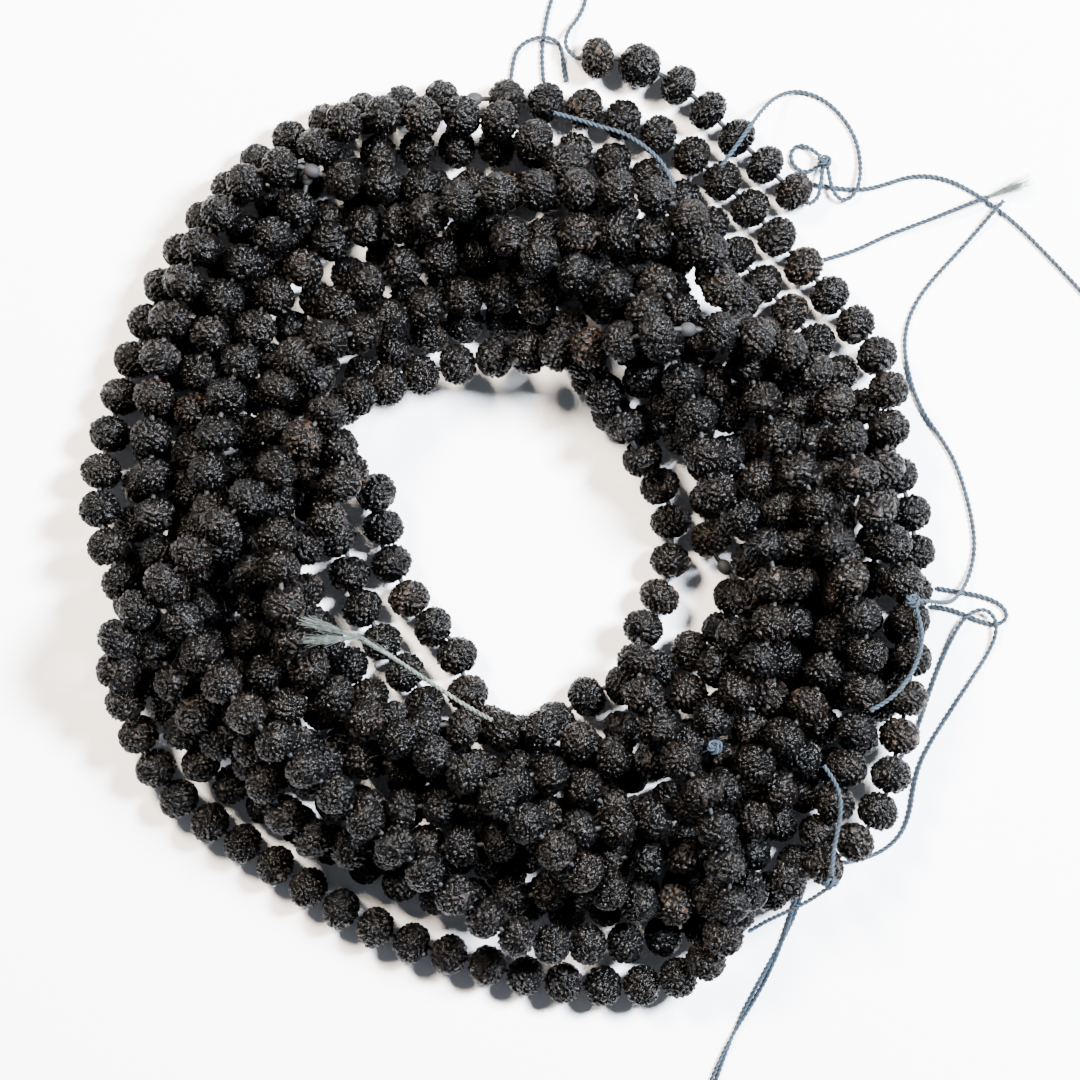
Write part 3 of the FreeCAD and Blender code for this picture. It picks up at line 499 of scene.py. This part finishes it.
def smooth_line(name, points):
    """Closely spaced points of the smooth curve that has these control points."""
    curve = bpy.data.curves.new(name + "_line", "CURVE")
    curve.dimensions = "3D"
    curve.resolution_u = 12
    spline = curve.splines.new("NURBS")
    spline.points.add(len(points) - 1)
    for spot, point in zip(spline.points, points):
        spot.co = (point[0] * MM, point[1] * MM, point[2] * MM, 1.0)
    spline.order_u = 3
    spline.use_endpoint_u = True
    holder = bpy.data.objects.new(name + "_line", curve)
    bpy.context.collection.objects.link(holder)
    bpy.context.view_layer.update()
    mesh = bpy.data.meshes.new_from_object(holder)
    line = np.array([vertex.co[:] for vertex in mesh.vertices])
    bpy.data.meshes.remove(mesh)
    bpy.data.objects.remove(holder)
    bpy.data.curves.remove(curve)
    return line


def even_steps(line, step):
    """The same line with its points evenly spaced."""
    walked = np.concatenate([[0], np.cumsum(np.linalg.norm(np.diff(line, axis=0), axis=1))])
    count = max(4, int(walked[-1] / step))
    at = np.linspace(0, walked[-1], count)
    return np.stack([np.interp(at, walked, line[:, k]) for k in range(3)], axis=1), walked[-1]


def side_vectors(line):
    """At each point two directions square to the line that turn as little as can be."""
    along = np.gradient(line, axis=0)
    along /= np.linalg.norm(along, axis=1, keepdims=True)
    side = np.cross(along[0], [0.0, 0.0, 1.0])
    if np.linalg.norm(side) < 0.05:
        side = np.array([1.0, 0.0, 0.0])
    sides = []
    for direction in along:
        side = side - direction * np.dot(side, direction)
        side /= np.linalg.norm(side)
        sides.append(side)
    sides = np.array(sides)
    return sides, np.cross(along, sides)


def tube(line, radii, corners):
    """A closed round tube along a line, as points and faces."""
    first, second = side_vectors(line)
    angle = np.arange(corners) * 2 * math.pi / corners
    ring = (first[:, None] * np.cos(angle)[None, :, None] + second[:, None] * np.sin(angle)[None, :, None])
    points = (line[:, None] + ring * np.asarray(radii)[:, None, None]).reshape(-1, 3)
    faces = []
    for row in range(len(line) - 1):
        for corner in range(corners):
            after = (corner + 1) % corners
            faces.append((row * corners + corner, row * corners + after,
                          (row + 1) * corners + after, (row + 1) * corners + corner))
    faces.append(tuple(reversed(range(corners))))
    faces.append(tuple((len(line) - 1) * corners + corner for corner in range(corners)))
    return points, faces


def add_piece(name, tubes, material, body, nodes):
    points = []
    faces = []
    for own_points, own_faces in tubes:
        shift = len(points)
        points.extend(own_points.tolist())
        faces.extend([tuple(corner + shift for corner in face) for face in own_faces])
    mesh = bpy.data.meshes.new(name)
    mesh.from_pydata(points, [], faces)
    mesh.polygons.foreach_set("use_smooth", np.ones(len(faces), dtype=bool))
    mesh.materials.append(material)
    piece = bpy.data.objects.new(name, mesh)
    bpy.context.collection.objects.link(piece)
    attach(piece, body)
    if nodes:
        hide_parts(*nodes)
    return piece


def plies(line, length, thin=1.0):
    """Two plies that wind round the line."""
    first, second = side_vectors(line)
    turn = np.linspace(0, length / TWIST_LENGTH * 2 * math.pi, len(line))
    tubes = []
    for ply in range(2):
        angle = turn + ply * math.pi
        shift = first * np.cos(angle)[:, None] + second * np.sin(angle)[:, None]
        tubes.append(tube(line + shift * PLY_OFFSET * thin, np.full(len(line), PLY_RADIUS * thin), 8))
    return tubes


lines = {name: even_steps(smooth_line(name, points), 0.16 * MM) for name, points in ROUTES.items()}
print("longest thread", max((round(float(length) * 1000), name) for name, (_, length) in lines.items()))

# %% [markdown]
# The tail at the bottom is two threads that lie side by side.

# %%
LOOPS = ("top_loop", "slack_loop", "side_loop", "long_loop")
TAILS = ("long_tail", "frayed_tail", "right_tail", "bottom_tail", "lay_tail")
FUZZ = np.random.default_rng(27)
FUZZ_PER_METRE = 500
# Frayed share of the thread, count of loose fibres, how far they spread and how thick they are.
COMBED = {
    "frayed_tail": (0.72, 150, 0.42 * MM, 0.035 * MM),
    "lay_tail": (0.6, 110, 0.36 * MM, 0.05 * MM),
}


def fuzz(line, count, reach, radius):
    """Short stray fibres that stand off a thread."""
    first, second = side_vectors(line)
    tubes = []
    for _ in range(count):
        at = int(FUZZ.integers(2, len(line) - 2))
        angle = FUZZ.uniform(0, 2 * math.pi)
        out = first[at] * math.cos(angle) + second[at] * math.sin(angle)
        along = line[min(at + 1, len(line) - 1)] - line[at]
        along /= np.linalg.norm(along)
        length = reach * FUZZ.uniform(0.4, 1.0)
        steps = np.linspace(0, 1, 6)[:, None]
        bend = FUZZ.normal(0, 0.35, 3)
        lean = along * FUZZ.uniform(-1.2, 1.2)
        hair = line[at] + ((out + lean) * steps + bend * steps ** 2 * 0.5) * length
        hair[:, 2] = np.maximum(hair[:, 2], 0.06 * MM)
        tubes.append(tube(hair, np.linspace(radius, radius * 0.6, 6), 3))
    return tubes


def side_by_side(line):
    """Two lines next to each other; the first crosses over the second once."""
    level = np.cross(np.gradient(line, axis=0), [0.0, 0.0, 1.0])
    level /= np.linalg.norm(level, axis=1, keepdims=True)
    turn = np.linspace(0, 1.1 * 2 * math.pi, len(line))[:, None]
    apart = 0.44 * MM * np.cos(turn)
    over = 0.34 * MM * np.abs(np.sin(turn))
    return [line + level * apart + np.array([0.0, 0.0, 1.0]) * over, line - level * apart]


def combed(line, share, count, spread, radius):
    """Long fibres that have come loose along the last share of a thread and lie along it."""
    level = np.cross(np.gradient(line, axis=0), [0.0, 0.0, 1.0])
    level /= np.linalg.norm(level, axis=1, keepdims=True)
    first = int(len(line) * (1 - share))
    tubes = []
    for _ in range(count):
        start = int(FUZZ.integers(first, len(line) - 24))
        stop = min(len(line) - 1, start + int(FUZZ.integers(24, 90)))
        own = line[start:stop + 1:4]
        walk = np.linspace(0, 1, len(own))
        grown = (start - first) / (len(line) - first)
        side = FUZZ.normal(0, spread) * (0.35 + 0.65 * grown)
        wave = 0.12 * MM * np.sin(walk * FUZZ.uniform(3, 8) + FUZZ.uniform(0, 6))
        hair = own + level[start:stop + 1:4] * (side * np.sqrt(walk) + wave * walk)[:, None]
        hair[:, 2] = np.maximum(hair[:, 2] + FUZZ.normal(0.1, 0.25) * MM * walk, 0.06 * MM)
        tubes.append(tube(hair, np.linspace(radius, radius * 0.6, len(own)), 3))
    return tubes


def add_thread(name):
    line, length = lines[name]
    material = FRAYED if name == "lay_tail" else THREAD
    tubes = []
    if name == "bottom_tail":
        for own in side_by_side(line):
            tubes += plies(own, length, 0.86)
    else:
        tubes = plies(line, length)
    tubes += fuzz(line, int(length * FUZZ_PER_METRE), 1.1 * MM, 0.022 * MM)
    if name in COMBED:
        tubes += combed(line, *COMBED[name])
    return add_piece(name + "_plies", tubes, material, bodies_of[name], [name])


thread_pieces = {name: add_thread(name) for name in ROUTES}
print("threads", len(thread_pieces))

# %% [markdown]
# ## Frayed ends and knots
# A frayed end is its plies combed apart into fine waving fibres that spread towards the tip. A knot is
# one thread wound several times round itself, with a few fibres standing off it.

# %%
TUFTS = {
    "frayed_tuft": ((89.6, 60.8, 2.3), (98.4, 64.2, 3.0)),
    "lay_tuft_1": ((-27.2, -21.2, 25.0), (-38.0, -17.6, 31.6)),
    "lay_tuft_2": ((-27.2, -21.2, 25.0), (-37.4, -21.8, 31.8)),
}
KNOTS = {
    "tangle_knot": (59.2, 67.6, 1.7),
    "edge_knot": (74.6, -14.6, 17.0),
    "low_knot": (59.6, -66.6, 17.4),
    "thread_ball": (38.2, -41.6, 15.4),
}


def fibres(root, tip, count, spread, radius, longest=1.0, seed=1):
    """Waving fibres from the thread's end out towards the tip, each reaching part or all of the way."""
    chance = np.random.default_rng(seed)
    root = np.array(root) * MM
    tip = np.array(tip) * MM
    along = tip - root
    reach = np.linalg.norm(along)
    side = np.cross(along, [0.0, 0.0, 1.0])
    side /= np.linalg.norm(side)
    up = np.cross(side, along / reach)
    steps = np.linspace(0, 1, 16)
    tubes = []
    for _ in range(count):
        share = longest * chance.uniform(0.55, 1.0)
        out = chance.normal(0, spread * 0.45, 2)
        start = chance.normal(0, 0.16 * MM, 2)
        wave = chance.uniform(0, 2 * math.pi)
        size = chance.uniform(0.05, 0.22) * MM
        across = start[0] + (out[0] - start[0]) * steps ** 1.3 + size * np.sin(steps * 9 + wave) * steps
        above = start[1] + (out[1] * 0.6 - start[1]) * steps ** 1.3 + size * np.cos(steps * 7 + wave) * steps
        line = (root + along * (steps * share)[:, None] + side * across[:, None] + up * above[:, None])
        line[:, 2] = np.maximum(line[:, 2], 0.06 * MM)
        tubes.append(tube(line, np.linspace(radius, radius * 0.5, len(steps)), 3))
    return tubes


def add_tuft(name, count, spread, seed):
    root, tip = TUFTS[name]
    tubes = fibres(root, tip, count, spread, 0.045 * MM, seed=seed)
    return add_piece(name + "_fibres", tubes, FRAYED, bodies_of[name], [name])


def knot_line(centre, radius, turns, seed):
    """A thread wound round and through itself about a centre."""
    chance = np.random.default_rng(seed)
    angle = np.linspace(0, 2 * math.pi, 160)
    ring = radius * (0.60 + 0.30 * np.cos(turns * angle))
    line = np.stack([ring * np.cos((turns - 1) * angle), ring * np.sin((turns - 1) * angle),
                     0.42 * radius * np.sin(turns * angle)], axis=1)
    axis = chance.normal(0, 1, 3)
    axis /= np.linalg.norm(axis)
    other = np.cross(axis, [0.3, 0.5, 0.81])
    other /= np.linalg.norm(other)
    frame_axes = np.stack([other, np.cross(axis, other), axis])
    return np.array(centre) * MM + line @ frame_axes


def add_knot(name, radius, seed):
    line = knot_line(KNOTS[name], radius, 4, seed)
    tubes = plies(line, 12 * MM, 0.86) + fuzz(line, 26, 2.0 * MM, 0.024 * MM)
    return add_piece(name + "_wound", tubes, THREAD, bodies_of[name], [name])


tufts = {"frayed_tuft": add_tuft("frayed_tuft", 130, 1.5 * MM, 3),
         "lay_tuft_1": add_tuft("lay_tuft_1", 120, 1.3 * MM, 5),
         "lay_tuft_2": add_tuft("lay_tuft_2", 100, 1.2 * MM, 6)}
knots = {name: add_knot(name, 1.35 * MM, number) for number, name in enumerate(KNOTS, start=11)}
for name in LOOPS + TAILS:
    line, length = lines[name]
    if name == "right_tail":
        line = line[::-1]
print("cords", len(LOOPS + TAILS))

# %% [markdown]
# The strings' own threads and closing knots show only in the gaps between seeds, so the imported shapes stay.
# They are given a darker copy of the thread's colour, which is painted shade for the gaps between the seeds.

# %%
for node, body in bodies_of.items():
    packed = frame["nodes"][node]
    if packed.hide_render:
        continue
    packed.data.materials.clear()
    # Painted shade: the threads between the seeds get the darker thread colour.
    packed.data.materials.append(PAINTED_SHADE_THREAD)
    print("kept", node)

# %% [markdown]
# ## Ground and light
# A matt white ground under bright light. The cool window is on the right, so shadows to the left of the
# pile are warm; a weaker warm lamp comes from the upper left, and the pale surround fills the rest.

# %%
def add_ground():
    mesh = bpy.data.meshes.new("ground")
    half = 1.5
    corners = [(-half, -half, 0), (half, -half, 0), (half, half, 0), (-half, half, 0)]
    mesh.from_pydata(corners, [], [(0, 1, 2, 3)])
    mesh.materials.append(ground_material())
    ground = bpy.data.objects.new("ground", mesh)
    bpy.context.collection.objects.link(ground)
    return ground


def add_lamp(name, place, aim, size, power, code):
    data = bpy.data.lights.new(name, "AREA")
    data.shape = "DISK"
    data.size = size
    data.energy = power
    data.color = linear(code)[:3]
    lamp = bpy.data.objects.new(name, data)
    lamp.location = place
    lamp.rotation_euler = (Vector(aim) - Vector(place)).to_track_quat("-Z", "Y").to_euler()
    bpy.context.collection.objects.link(lamp)
    return lamp


add_ground()
add_lamp("window", (0.62, 0.30, 0.80), (0, 0, 0), 0.28, 130.0, "#eef4ff")
add_lamp("ceiling", (-0.45, 0.55, 0.85), (0, 0, 0), 0.3, 60.0, "#ffeedb")
world = bpy.data.worlds.new("surround")
world.use_nodes = True
world.node_tree.nodes["Background"].inputs["Color"].default_value = linear("#dfe9f7")
world.node_tree.nodes["Background"].inputs["Strength"].default_value = 0.2
bpy.context.scene.world = world
